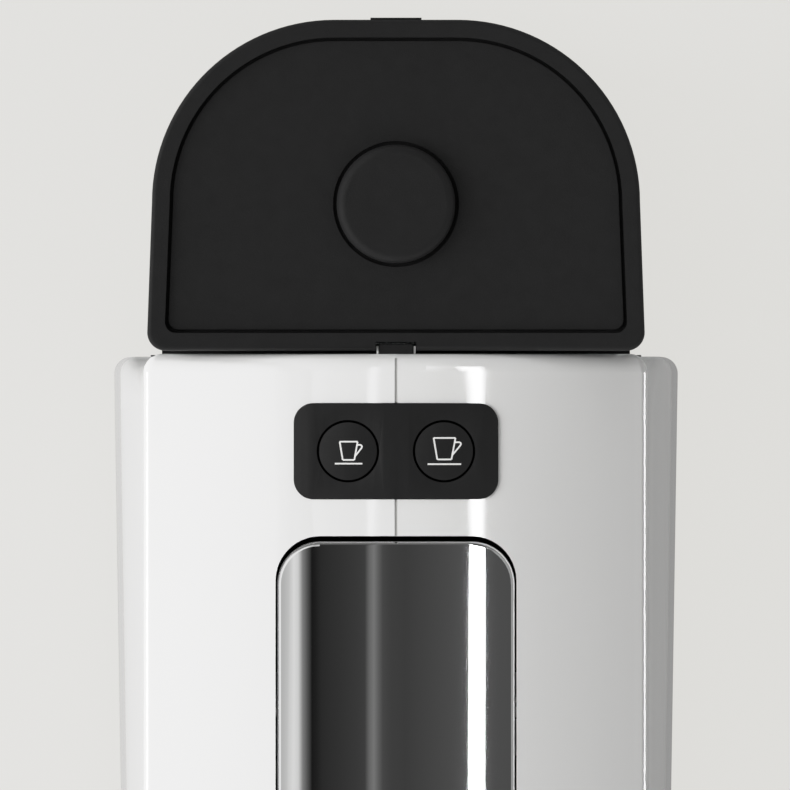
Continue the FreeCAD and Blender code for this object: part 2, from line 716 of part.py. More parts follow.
def button_panel():
    """Black panel that follows the crown, with two round holes."""
    body = new_body("button_panel")
    gap = 0.05
    wide, deep = s.bezel_width / 2 - gap, s.bezel_depth / 2 - gap
    y = s.button_y
    low, high, corner = s.bezel_low, s.machine_height + 4, s.bezel_corner
    flange = round_rect(-wide - 2, wide + 2, y - deep - 2, y + deep + 2, corner)
    add(body, "Z", low, s.machine_height, flange)
    take(body, "Y", y - 30, y + 30, above_crown(as_size(30), -s.wall))
    add(body, "Z", low, high, round_rect(-wide, wide, y - deep, y + deep, corner))
    take(body, "Y", y - 30, y + 30, above_crown(as_size(30), s.bezel_proud))
    for side in (-1, 1):
        take(body, "Z", low - 1, high, (side * s.button_x, y, s.button_radius + s.button_ring))
        for end in (-1, 1):
            add(body, "Z", low - 7.4, low + 0.5, (side * (wide - 2), y + end * (deep - 2), 1.5))
    return node("button_panel", body)


def push_button(label, side):
    """Round cap with a collar under the panel and a stem to its switch."""
    body = new_body(label)
    x, y = side * s.button_x, s.button_y
    add(body, "Z", s.bezel_low - 1, s.machine_height + 4, (x, y, s.button_radius))
    take(body, "Y", y - 30, y + 30, above_crown(as_size(30), s.bezel_proud))
    add(body, "Z", s.bezel_low - 1.5, s.bezel_low - 0.3, (x, y, s.button_radius + 1))
    add(body, "Z", s.bezel_low - 3.2, s.bezel_low - 1, (x, y, 2))
    return node(label, body)


def button_board():
    """Small circuit board under the panel."""
    deep = s.bezel_depth / 2
    half = s.bezel_width / 2
    board = block("button_board", -half, half, s.button_y - deep, s.button_y + deep,
                  s.bezel_low - 9, s.bezel_low - 7.4)
    return node("button_board", board)


def tact_switches():
    """Two switches on the button board."""
    low = s.bezel_low - 7.4
    made = []
    for side in (-1, 1):
        x = side * s.button_x
        base = block("switch", x - 3, x + 3, s.button_y - 3, s.button_y + 3, low, low + 2.4)
        cap = rod("cap", "Z", x, s.button_y, low + 2, s.bezel_low - 3.3 - s.button_travel, 1.6)
        made.append(fused("tact", [base, cap]))
    return node("tact_switches", grouped("tact_switches", made))


def tank_hook():
    """Catch on the rear wall that stands in the notch of the lid."""
    half = s.notch_width / 2 - 0.7
    hook = block("tank_hook", -half, half, s.shell_rear, s.lid_front + s.notch_depth - 0.5,
                 s.lid_level + 0.5, s.lid_top - 0.7)
    return node("tank_hook", hook)


def tank_dock():
    """Shelf for the tank with outlet socket, probe and hose nipple."""
    body = new_body("tank_dock")
    y = s.valve_y
    inset = s.tank_inset + 0.5
    add(body, "Z", s.floor, s.tank_level, tank_outline(inset))
    take(body, "Z", s.floor + 3, s.tank_level + 1, (0, y, s.valve_radius + 1))
    add(body, "Z", s.floor + 2, s.tank_level - 4, (0, y, 1.8))
    take(body, "Y", s.lid_front - 8, y - 6, (0, s.floor + 5, 2))
    add(body, "Y", s.lid_front - 3.5, s.lid_front + inset + 0.5, (0, s.floor + 5, 3.5))
    take(body, "Y", s.lid_front - 8, y - 6, (0, s.floor + 5, 2))
    take(body, "X", -s.lid_width / 2 - 1, -s.lid_width / 2 + 12, (y - 16, s.floor + 7, 5))
    return node("tank_dock", body)


def dock_seal():
    """Rubber ring in the outlet socket."""
    body = new_body("dock_seal")
    low = s.floor + 7
    add(body, "Z", low, low + 2.4, (0, s.valve_y, s.valve_radius + 1),
        (0, s.valve_y, s.valve_radius + s.fit_gap))
    return node("dock_seal", body)


def cord_gland():
    """Rubber bush where the mains lead enters."""
    body = new_body("cord_gland")
    y, z = s.valve_y - 16, s.floor + 7
    outside = -s.lid_width / 2 + s.tank_inset + 0.5
    add(body, "X", outside - 1.5, outside, (y, z, 6), (y, z, 3.3))
    add(body, "X", outside, outside + 10, (y, z, 5), (y, z, 3.3))
    return node("cord_gland", body)


# Inner frame and brewing unit

def chassis():
    """Two upright walls with a heater shelf and a cross bar for the brew plates."""
    body = new_body("chassis")
    inside, outside = s.chassis_half, s.chassis_half + s.chassis_wall
    section = [(-outside, s.floor), (-inside, s.floor), (-inside, s.shelf_level), (inside, s.shelf_level),
               (inside, s.floor), (outside, s.floor), (outside, s.chassis_top), (inside, s.chassis_top),
               (inside, s.shelf_top), (-inside, s.shelf_top), (-inside, s.chassis_top),
               (-outside, s.chassis_top)]
    add(body, "Y", s.chassis_front, s.chassis_rear, section)
    add(body, "Z", s.chassis_top, s.plate_low,
        rect(-outside, outside, s.chassis_front + 10, s.chassis_front + 22))
    for y, z in board_places():
        add(body, "X", inside - 4, inside + 1, (y, z, 2.5))
    return node("chassis", body)


def board_places():
    """Where the control board is held."""
    return [(s.chassis_front + y, z) for y in (14, 72) for z in (s.floor + 20, s.shelf_level - 12)]


def brew_plate(label, side):
    """Steel plate with the shaft bore and two guide slots."""
    body = new_body(label)
    front, rear = s.carriage_front - 39, s.pivot_y + s.well_radius + 2.5
    outline = [(front, s.plate_low), (s.pivot_y - 10, s.plate_low), (rear, s.plate_low + 30),
               (rear, s.plate_high), (front, s.plate_high)]
    r = s.pin_radius + s.fit_gap
    shapes = [outline, (s.pivot_y, s.pivot_z, s.shaft_radius + s.fit_gap)]
    for z in (s.brew_z - s.pin_rise, s.brew_z + s.pin_rise):
        shapes.append(slot(s.pin_y - s.travel - 0.3, s.pin_y + 0.3, z, r))
    for y in (s.chamber_front + 6, s.chamber_back - 6):
        shapes.append((y, s.block_low + 5, as_size(1.5)))
    low, high = (s.brew_half, s.plate_out) if side > 0 else (-s.plate_out, -s.brew_half)
    add(body, "X", low, high, *shapes)
    return node(label, body)


def pod_chamber():
    """Block with the pod cavity, seal seat and water bore."""
    body = new_body("pod_chamber")
    front, back, z = s.chamber_front, s.chamber_back, s.brew_z
    add(body, "Y", front, back, rect(-s.brew_half, s.brew_half, s.block_low, s.block_high))
    deep = front + s.pod_length
    cavity = [(front - 1, z), (deep, z), (deep, z + s.pod_radius - s.pod_taper), (front, z + s.pod_radius),
              (front - 1, z + s.pod_radius)]
    take_turn(body, "X", 0, cavity, ((front - 1, z), (deep, z)))
    take(body, "Y", front - 1, front + 1.5, (0, z, s.pod_radius + 4.2), (0, z, s.pod_radius + 1.2))
    take(body, "Y", deep - 1, back + 1, (0, z, 2.5))
    for side in (-1, 1):
        low, high = (s.brew_half - 6, s.brew_half + 1) if side > 0 else (-s.brew_half - 1, -s.brew_half + 6)
        for y in (front + 6, back - 6):
            take(body, "X", low, high, (y, s.block_low + 5, as_size(1.5)))
    return node("pod_chamber", body)


def piercing_needles():
    """Disc with three needles at the bottom of the cavity."""
    body = new_body("piercing_needles")
    deep, z = s.chamber_front + s.pod_length, s.brew_z
    add(body, "Y", deep - 1.5, deep, (0, z, s.pod_radius - s.pod_taper - 1), (0, z, 2.5))
    parts = [body]
    for angle in (90, 210, 330):
        cone = doc.addObject("Part::Cone", "needle")
        cone.Placement = FreeCAD.Placement(V(), FreeCAD.Rotation(V(1, 0, 0), 90))
        bind(cone, "Placement.Base.x", 7 * math.cos(math.radians(angle)))
        bind(cone, "Placement.Base.y", deep - 1.4)
        bind(cone, "Placement.Base.z", z + 7 * math.sin(math.radians(angle)))
        cone.Radius1 = 1.6
        cone.Radius2 = 0.2
        cone.Height = 6
        parts.append(cone)
    return node("piercing_needles", fused("piercing_needles", parts))


def chamber_seal():
    """Soft ring around the mouth of the cavity."""
    body = new_body("chamber_seal")
    front = s.chamber_front
    add(body, "Y", front - 0.6, front + 1.5, (0, s.brew_z, s.pod_radius + 4.2),
        (0, s.brew_z, s.pod_radius + 1.2))
    return node("chamber_seal", body)


def tube(label, points, radius, bend):
    """A round tube along a path with rounded corners."""
    path = [V(*[float(as_size(c)) for c in p]) for p in points]
    r = float(as_size(bend))
    edges = []
    last = path[0]
    for before, here, after in zip(path, path[1:], path[2:]):
        back = (before - here).normalize()
        on = (after - here).normalize()
        half = back.getAngle(on) / 2
        reach = r / math.tan(half)
        middle = here + (back + on).normalize() * (r / math.sin(half) - r)
        edges.append(Part.LineSegment(last, here + back * reach).toShape())
        edges.append(Part.Arc(here + back * reach, middle, here + on * reach).toShape())
        last = here + on * reach
    edges.append(Part.LineSegment(last, path[-1]).toShape())
    wire = Part.Wire(edges)
    ring = Part.Wire(Part.makeCircle(float(as_size(radius)), path[0], path[1] - path[0]))
    thing = doc.addObject("Part::Feature", label)
    thing.Shape = wire.makePipeShell([ring], True, False)
    return thing


def hoses():
    """Water path from the dock to the pod chamber."""
    level = s.floor + 5
    inlet = rod("inlet_hose", "Y", 0, level, s.shell_rear - 6.9, s.lid_front - 3.5, 3.5)
    side, y = -s.pump_side, s.pump_y
    path = [(8, s.shell_rear - 40.5, level), (8, y - 46, level), (side, y - 46, level),
            (side, y - 46, s.pump_level), (side, y - 26, s.pump_level)]
    feed = tube("feed_hose", path, 3.2, 8)
    node("suction_hoses", grouped("suction_hoses", [inlet, feed]))
    bend = s.shelf_top + 15
    path = [(side, y + 36, s.pump_level + 12), (side, y + 36, bend), (side, y + 28, bend)]
    node("pressure_hose", tube("pressure_hose", path, 2.6, 5))
    back, z = s.chamber_back, s.brew_z
    path = [(0, back - 4, z), (0, back + 20, z), (0, back + 20, s.heater_top)]
    node("brew_pipe", tube("brew_pipe", path, 2.5, 6))


def thermoblock():
    """Cast heater block with ribs, resting on the shelf."""
    body = new_body("thermoblock")
    front, rear = s.pump_y - 30, s.pump_y + 28
    add(body, "Z", s.shelf_top, s.heater_top - 3, round_rect(-29, 29, front, rear, 4))
    for x in range(-24, 25, 12):
        add(body, "Z", s.heater_top - 4, s.heater_top, rect(x - 3, x + 3, front + 2, rear - 2))
    return node("thermoblock", body)


def thermoblock_fittings():
    """Thermostat and heater terminals on the thermoblock."""
    y, z = s.pump_y + 10, s.heater_top
    can = [rod("can", "Z", 12, y, z, z + 5, 8), rod("cap", "Z", 12, y, z + 4, z + 8, 5)]
    node("thermostat", fused("thermostat", can))
    blades = [block("blade", -12.4, -11.6, y + d - 3, y + d + 3, z, z + 9) for d in (-20, 8)]
    node("heater_terminals", grouped("heater_terminals", blades))


# Pump, flow meter and control board

def pump():
    """Vibrating pump on two rubber rings."""
    x, y, z = -s.pump_side, s.pump_y, s.pump_level
    barrel = new_body("pump_barrel")
    add(barrel, "Y", y - 26, y + 30, (x, z, s.barrel_radius), (x, z, s.plunger_radius + s.fit_gap))
    node("pump_barrel", barrel)
    coil = new_body("pump_coil")
    add(coil, "Y", y - 16, y + 16, round_rect(x - 18, x + 18, z - 18, z + 18, 4), (x, z, s.barrel_radius))
    node("pump_coil", coil)
    yoke = new_body("pump_yoke")
    bridge = [(y - 18, z - 18), (y - 16, z - 18), (y - 16, z + 18), (y + 16, z + 18), (y + 16, z - 18),
              (y + 18, z - 18), (y + 18, z + 20), (y - 18, z + 20)]
    add(yoke, "X", x - 14, x + 14, bridge)
    take(yoke, "Y", y - 19, y + 19, (x, z, s.barrel_radius))
    node("pump_yoke", yoke)
    rings = []
    for place in mount_places():
        ring = new_body("ring")
        add(ring, "Y", place, place + 6, (x, z, s.barrel_radius + 5), (x, z, s.barrel_radius))
        rings.append(ring)
    node("pump_mounts", grouped("pump_mounts", rings))
    head = [rod("end", "Y", x, z, y + 30, y + 41, 10), rod("nipple", "Z", x, y + 36, z, z + 12, 2.6)]
    node("pump_head", fused("pump_head", head))
    plug = rod("pump_plunger", "Y", x, z, y - 10, y + 10, s.plunger_radius)
    node("pump_plunger", plug)


def flow_meter():
    """Round flow meter with cap and impeller."""
    y, low = s.shell_rear - 20.4, s.floor
    body = new_body("flow_meter")
    add(body, "Z", low, low + 14, (0, y, 13))
    take(body, "Z", low + 2, low + 15, (0, y, 11))
    add(body, "Z", low + 1, low + 13, (0, y, 1))
    add(body, "Y", y + 12, s.shell_rear - 6.9, (0, low + 5, 3.5))
    add(body, "Y", s.shell_rear - 40.5, y - 9, (8, low + 5, 3.2))
    take(body, "Z", low + 2, low + 13.9, (0, y, 11), (0, y, 1))
    node("flow_meter", body)
    cap = rod("flow_meter_cap", "Z", 0, y, low + 14, low + 16, 13)
    node("flow_meter_cap", cap)
    wheel = new_body("flow_impeller")
    add(wheel, "Z", low + 3, low + 11, (0, y, 3))
    for angle in range(0, 180, 60):
        turned = math.radians(angle)
        c, w = 9.5, 0.5
        along, across = (math.cos(turned), math.sin(turned)), (-math.sin(turned), math.cos(turned))
        blade = [(a * c * along[0] + b * w * across[0], y + a * c * along[1] + b * w * across[1])
                 for a, b in ((-1, -1), (1, -1), (1, 1), (-1, 1))]
        add(wheel, "Z", low + 4, low + 10, blade)
    take(wheel, "Z", low + 2, low + 12, (0, y, 1 + s.fit_gap))
    node("flow_impeller", wheel)


def control_board():
    """Upright board on the chassis wall with its larger parts."""
    face = s.chassis_half - 4
    front, low = s.chassis_front + 8, s.floor + 14
    top = s.shelf_level - 6
    board = block("main_board", face - 1.6, face, front, front + 70, low, top)
    node("main_board", board)
    x = face - 1.6
    parts = [block("relay", x - 10, x, front + 8, front + 23, low + 8, low + 20),
             block("supply", x - 14, x, front + 30, front + 52, top - 28, top - 8),
             rod("capacitor", "X", front + 62, top - 18, x - 13, x, 5),
             block("connector", x - 7, x, front + 34, front + 56, low + 6, low + 14)]
    node("board_parts", grouped("board_parts", parts))


# Lever and extraction carriage

def lever_cover():
    """Chrome cover flush with the crown, bent down at its tip."""
    body = new_body("lever_cover")
    half, low = s.lever_half, s.machine_height - s.lever_depth
    section = [(-half, low), (half, low), (half, crown_at(half)), (-half, crown_at(half), s.crown_radius)]
    add(body, "Y", s.droop_y, s.lever_rear, section)
    centre = s.machine_height - s.droop_radius
    add_turn(body, "Y", s.droop_y, section, ((-1, centre), (1, centre)), s.droop_angle)
    r, rear = s.lever_corner - s.lever_gap, s.lever_rear
    tip = s.droop_y - s.droop_radius * math.sin(math.radians(float(s.droop_angle)))
    for side in (-1, 1):
        corner = [(half + 1, rear - r), (half + 1, rear + 1), (half - r, rear + 1), (half - r, rear),
                  (half, rear - r, -r)]
        take(body, "Z", low - 1, s.machine_height + 1, mirrored(corner, side))
        end = [(half + 1, tip + r), (half, tip + r), (half - r, tip, -r), (half - r, tip - 6),
               (half + 1, tip - 6)]
        take(body, "Z", low - 30, s.machine_height + 1, mirrored(end, side))
    edge = float(crown_at(half))
    bend = float(s.droop_radius) - float(s.machine_height) + edge

    def at_top(line):
        if line.Curve.TypeId == "Part::GeomCircle" and abs(line.Curve.Radius - bend) < 0.01:
            return True
        return line.BoundBox.ZMin > edge - 0.01 and line.BoundBox.YMax > float(tip) + 60

    round_edges(body, s.lever_round, at_top)
    inner = half - s.lever_skin
    small = r - s.lever_skin
    back = rear - s.lever_skin
    hollow = [(-inner, s.droop_y), (inner, s.droop_y), (inner, back - small), (inner - small, back, small),
              (small - inner, back), (-inner, back - small, small)]
    take(body, "Z", low - 1, crown_at(half) - s.lever_skin, hollow)
    node("lever_cover", body)


def lever_yoke():
    """Black underside of the lever with two hubs."""
    body = new_body("lever_yoke")
    gap = 0.05
    half, top = s.lever_half - s.lever_skin - gap, crown_at(s.lever_half) - s.lever_skin
    r = s.lever_corner - s.lever_gap - s.lever_skin
    back = s.lever_rear - s.lever_skin - gap
    low = s.machine_height - s.lever_depth - 1.6
    front = s.droop_y + gap
    plate = [(-half, front), (half, front), (half, back - r), (half - r, back, r), (r - half, back),
             (-half, back - r, r)]
    add(body, "Z", low, top, plate)
    y, z = s.pivot_y, s.pivot_z
    hub = [(y - 6, low + 1), (y - 6, z), (y, z - 6, 6), (y + 6, z, 6), (y + 6, low + 1)]
    for ends in ((half - 3.2, half), (-half, 3.2 - half)):
        add(body, "X", ends[0], ends[1], hub)
    take(body, "X", -half - 1, half + 1, (y, z, s.shaft_radius))
    node("lever_yoke", body)


def lever_shaft():
    """Steel shaft through the yoke, plates and sectors."""
    end = s.rack_out + 0.5
    node("lever_shaft", rod("lever_shaft", "X", s.pivot_y, s.pivot_z, -end, end, s.shaft_radius))


def tooth_outline(angle):
    """Flanks of one sector tooth about the shaft, standing at an angle."""
    teeth = float(s.sector_teeth)
    press = math.radians(20)
    pitch = teeth / 2
    base = pitch * math.cos(press)
    play = float(s.tooth_play) / float(s.gear_module) / 2 / pitch

    def half_angle(radius):
        opened = math.acos(min(base / radius, 1))
        return math.pi / (2 * teeth) - play + (math.tan(press) - press) - (math.tan(opened) - opened)

    flank = [(pitch - 1.6, half_angle(base)), (base, half_angle(base)), (pitch, half_angle(pitch)),
             (pitch + 1, half_angle(pitch + 1))]
    turned = [(r, -a) for r, a in flank] + [(r, a) for r, a in reversed(flank)]
    middle, m = math.radians(angle), s.gear_module
    return [(m * (r * math.cos(middle + a)), m * (r * math.sin(middle + a))) for r, a in turned]


def lever_sectors():
    """Two toothed sectors on the shaft ends."""
    step = 360 / float(s.sector_teeth)
    count = int(float(s.lever_angle) / step) + 3
    first, last = 270 - 1.4 * step, 270 + (count - 1.6) * step
    disc = s.sector_pitch - 1.25 * s.gear_module
    made = []
    for low, high in ((s.rack_in, s.rack_out), (-s.rack_out, -s.rack_in)):
        body = new_body("sector")
        place = (s.pivot_y, s.pivot_z)
        ends = [(disc * math.cos(math.radians(a)), disc * math.sin(math.radians(a))) for a in (first, last)]
        add(body, "X", low, high, [(0, 0), ends[0], ends[1] + (disc,)], origin=place)
        add(body, "X", low, high, (0, 0, s.shaft_radius + 1.5), origin=place)
        for index in range(count):
            add(body, "X", low, high, tooth_outline(270 + (index - 1) * step), origin=place)
        take(body, "X", low, high, (0, 0, s.shaft_radius), origin=place)
        made.append(body)
    node("lever_sectors", grouped("lever_sectors", made))


def carriage():
    """Sliding block with the extraction plate, coffee tube and pin bores."""
    body = new_body("extraction_carriage")
    back, front, z = s.press_face, s.carriage_front, s.brew_z
    half = s.brew_half - 1.5
    add(body, "Y", front, back, rect(-half, half, s.block_low, s.block_high))
    take(body, "Y", back - 2, back + 1, (0, z, s.pod_radius + 2.6))
    low = s.block_low + 5
    take(body, "Y", front + 5, back - 1, rect(-3, 3, low - 2.8, z + 3))
    add(body, "Y", front - 38, front + 1, (0, low, 4.4))
    take(body, "Y", front - 39, front + 6, (0, low, 2.8))
    for place in (z - s.pin_rise, z + s.pin_rise):
        for ends in ((half - 8, half + 1), (-half - 1, 8 - half)):
            take(body, "X", ends[0], ends[1], (s.pin_y, place, s.pin_radius))
    node("extraction_carriage", body)


def extraction_screen():
    """Perforated disc that the pod foil is pressed against."""
    body = new_body("extraction_screen")
    back, z = s.press_face, s.brew_z
    holes = [(0, z, as_size(0.9))]
    for ring, count in ((5, 6), (10, 12)):
        for index in range(count):
            turned = 2 * math.pi * index / count
            holes.append((ring * math.cos(turned), z + ring * math.sin(turned), as_size(0.9)))
    add(body, "Y", back - 2, back, (0, z, s.pod_radius + 2.6), *holes)
    node("extraction_screen", body)


def carriage_racks():
    """Two racks that the sectors drive."""
    step = s.gear_module * math.pi
    count = int(float(s.travel) / float(step)) + 4
    low = s.rack_z - 1.25 * s.gear_module
    half = step / 4 - s.tooth_play / 2
    slope = math.tan(math.radians(20))
    first = s.pivot_y - 1.5 * step
    made = []
    for near, far in ((s.rack_in, s.rack_out), (-s.rack_out, -s.rack_in)):
        body = new_body("rack")
        end = first + step * (count - 0.5)
        drop = s.brew_z + s.pin_rise - 5
        bar = [(s.pin_y - 6, drop), (s.pin_y + 6, drop), (s.pin_y + 6, low - 6), (end, low - 6), (end, low),
               (s.pin_y - 6, low)]
        add(body, "X", near, far, bar, (s.pin_y, s.brew_z + s.pin_rise, s.pin_radius))
        for index in range(count):
            y = first + index * step
            wide, thin = half + 1.25 * s.gear_module * slope, half - s.gear_module * slope
            tooth = [(y - wide, low), (y + wide, low), (y + thin, s.rack_z + s.gear_module),
                     (y - thin, s.rack_z + s.gear_module)]
            add(body, "X", near, far, tooth)
        made.append(body)
    node("carriage_racks", grouped("carriage_racks", made))


def carriage_pins():
    """Four guide pins, the upper two joined to the racks."""
    inner = s.brew_half - 9.5
    made = []
    for z, outer in ((s.brew_z - s.pin_rise, s.plate_out), (s.brew_z + s.pin_rise, s.rack_out)):
        made.append(rod("pin", "X", s.pin_y, z, inner, outer, s.pin_radius))
        made.append(rod("pin", "X", s.pin_y, z, -outer, -inner, s.pin_radius))
    node("carriage_pins", grouped("carriage_pins", made))


# Water tank

def water_tank():
    """Clear tank with an outlet hole in its floor."""
    body = new_body("water_tank")
    add(body, "Z", s.tank_level, s.lid_level, tank_outline(s.tank_inset))
    take(body, "Z", s.tank_level + s.tank_wall, s.lid_level + 1, tank_outline(s.tank_inset + s.tank_wall))
    take(body, "Z", s.tank_level - 1, s.tank_level + s.tank_wall + 1, (0, s.valve_y, s.valve_radius))
    node("water_tank", body)


def arc_from(start, along, end):
    """The arc that leaves a point in a direction and ends at another point."""
    chord = end - start
    across = V(chord).normalize()
    rise = along - across * along.dot(across)
    bulge = math.tan(along.getAngle(chord) / 2) * chord.Length / 2
    return Part.Arc(start, (start + end) / 2 + rise.normalize() * bulge, end).toShape()


def coil(radius, height, turns, wire):
    """A wound wire of pairs of arcs, two for each quarter turn."""
    quarters = turns * 4
    climb = height - 2 * wire
    slope = climb / (2 * math.pi * turns)

    def at(index):
        angle = index * math.pi / 2
        place = V(radius * math.cos(angle), radius * math.sin(angle), wire + climb * index / quarters)
        return place, V(-radius * math.sin(angle), radius * math.cos(angle), slope).normalize()

    edges = []
    for index in range(quarters):
        (start, leave), (end, arrive) = at(index), at(index + 1)
        run, both, bend = end - start, leave + arrive, 2 * (1 - leave.dot(arrive))
        reach = (math.sqrt(run.dot(both) ** 2 + bend * run.dot(run)) - run.dot(both)) / bend
        middle = (start + end + (leave - arrive) * reach) / 2
        edges += [arc_from(start, leave, middle), arc_from(end, -arrive, middle)]
    path = Part.Wire(Part.__sortEdges__(edges))
    start, leave = at(0)
    ring = Part.Wire(Part.makeCircle(wire, start, leave))
    return path.makePipeShell([ring], True, False)


def valve():
    """Outlet valve of the tank: housing, plunger and spring."""
    y, low, r = s.valve_y, s.tank_level, s.valve_radius
    inside = low + s.tank_wall
    body = new_body("valve_housing")
    add(body, "Z", low - 8, inside + 16, (0, y, r))
    add(body, "Z", inside, inside + 2, (0, y, r + 3.5))
    take(body, "Z", low - 9, inside + 14, (0, y, r - 1.6))
    add(body, "Z", low - 2, low, (0, y, r - 1), (0, y, 4.2))
    for axis, middle, along in (("X", y, as_size(0)), ("Y", as_size(0), y)):
        window = rect(middle - 3, middle + 3, inside + 4, inside + 12)
        take(body, axis, along - r - 3, along + r + 3, window)
    node("valve_housing", body)
    seat = low + s.valve_lift
    stem = rod("stem", "Z", 0, y, low - 3.9, seat + 1, 2.6)
    disc = rod("disc", "Z", 0, y, seat, seat + 2, r - 2.6)
    guide = rod("guide", "Z", 0, y, seat + 1, seat + 6, 1.8)
    node("valve_plunger", fused("valve_plunger", [stem, disc, guide]))
    spring = doc.addObject("Part::Feature", "valve_spring")
    play = 0.05
    spring.Shape = coil(4, float(inside + 14) - float(seat + 2) - 2 * play, 4, 0.5)
    spring.Placement = FreeCAD.Placement(V(0, float(y), float(seat + 2) + play), FreeCAD.Rotation())
    node("valve_spring", spring)


def tank_lid():
    """Lid with a raised border, a round knob, a catch notch and a skirt."""
    body = new_body("tank_lid")
    low, top = s.lid_level, s.lid_top
    add(body, "Z", low, top, tank_outline(0))
    round_edges(body, s.lid_round, lambda e: in_plane(e, "Z", top))
    panel = top - s.lid_recess
    take(body, "Z", panel, top + 1, tank_outline(s.lid_rim))
    line = panel - s.lid_groove_depth
    take(body, "Z", line, top + 1, tank_outline(s.lid_rim), tank_outline(s.lid_rim + s.lid_groove))
    half = s.notch_width / 2
    take(body, "Z", low - 1, top + 1, rect(-half, half, s.lid_front - 1, s.lid_front + s.notch_depth))
    add(body, "Z", low + 1, top - 1, rect(-s.tab_width / 2, s.tab_width / 2, s.lid_rear - 1, s.rear))
    y, r = s.lid_front + s.knob_offset, s.knob_radius
    take(body, "Z", line, panel + 1, (0, y, r + s.lid_groove))
    add(body, "Z", line - 0.5, panel + s.knob_height, (0, y, r))
    round_edges(body, s.knob_round, lambda e: in_plane(e, "Z", panel + s.knob_height))
    inset = s.tank_inset + s.tank_wall + s.plug_gap
    add(body, "Z", low - s.lid_plug, low + 1, tank_outline(inset), tank_outline(inset + 1.5))
    node("tank_lid", body)


# Drip tray and pod bin

def tray_outline(inset):
    """Outline of the drip tray, moved inward."""
    half, r = s.tray_half - inset, s.tray_corner - inset
    front, rear = s.front + inset, s.tray_rear - inset
    return [(-half + r, front), (half - r, front), (half, front + r, r), (half, rear), (-half, rear),
            (-half, front + r), (-half + r, front, r)]


def drip_tray():
    """Open tray with a ledge for the cup grid."""
    body = new_body("drip_tray")
    low, top = s.tray_low, s.tray_top
    add(body, "Z", low, top, tray_outline(0))
    take(body, "Z", top - s.grid_thick, top + 1, tray_outline(s.tray_wall))
    take(body, "Z", low + s.tray_wall, top + 1, tray_outline(s.tray_wall * 2))
    node("drip_tray", body)


def cup_grid():
    """Slotted plate that the cup stands on."""
    body = new_body("cup_grid")
    low, top = s.tray_top - s.grid_thick, s.tray_top
    slots = [slot(-28, 28, s.tray_rear - 10 - y, as_size(2)) for y in range(0, 80, 9)]
    add(body, "Z", low, top, tray_outline(s.tray_wall + 0.3), *slots)
    node("cup_grid", body)


def pod_bin():
    """Bin for used pods with the column front."""
    body = new_body("pod_bin")
    low, top = s.tray_low, s.bin_top
    front, rear, half = s.column_front, s.bin_rear, s.bin_half
    add(body, "Z", low, top, rect(-half, half, front, rear))
    take(body, "Z", low + 2, top + 1, rect(2 - half, half - 2, front + 0.5, rear - 2))
    face = s.shell_inner - s.slide_gap
    add(body, "Y", s.tray_rear, front + 0.5, rect(-face, face, low, s.apron_low - s.slide_gap))
    node("pod_bin", body)


def build():
    """Make every sub-part."""
    for name, side in (("left", -1), ("right", 1)):
        half_shell(f"{name}_shell", side)
        side_panel(f"{name}_side_panel", side)
        brew_plate(f"{name}_brew_plate", side)
    base_plate()
    foot_pads()
    screws()
    head_floor()
    coffee_spout()
    pod_chute()
    lever_well()
    button_panel()
    push_button("small_cup_button", -1)
    push_button("large_cup_button", 1)
    button_board()
    tact_switches()
    tank_hook()
    tank_dock()
    dock_seal()
    cord_gland()
    chassis()
    pod_chamber()
    piercing_needles()
    chamber_seal()
    hoses()
    thermoblock()
    thermoblock_fittings()
    pump()
    flow_meter()
    control_board()
    lever_cover()
    lever_yoke()
    lever_shaft()
    lever_sectors()
    carriage()
    extraction_screen()
    carriage_racks()
    carriage_pins()
    water_tank()
    valve()
    tank_lid()
    drip_tray()
    cup_grid()
    pod_bin()


def write_parts():
    """Check every object and write one file per sub-part."""
    doc.recompute()
    faults = [f"{o.Name} {o.State}" for o in doc.Objects if "Invalid" in o.State or "Error" in o.State]
    for label, thing in NODES.items():
        shape = thing.Shape
        if shape.isNull() or not shape.isValid() or not shape.Solids:
            faults.append(f"{label} has no valid solid")
    if faults:
        raise RuntimeError("; ".join(faults))
    os.makedirs("parts", exist_ok=True)
    for label, thing in NODES.items():
        thing.Shape.exportStep(f"parts/{label}.step")
    print(len(NODES), "parts written")


build()
write_parts()
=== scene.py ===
"""Studio picture of a slim pod coffee machine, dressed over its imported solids."""
import json
import math

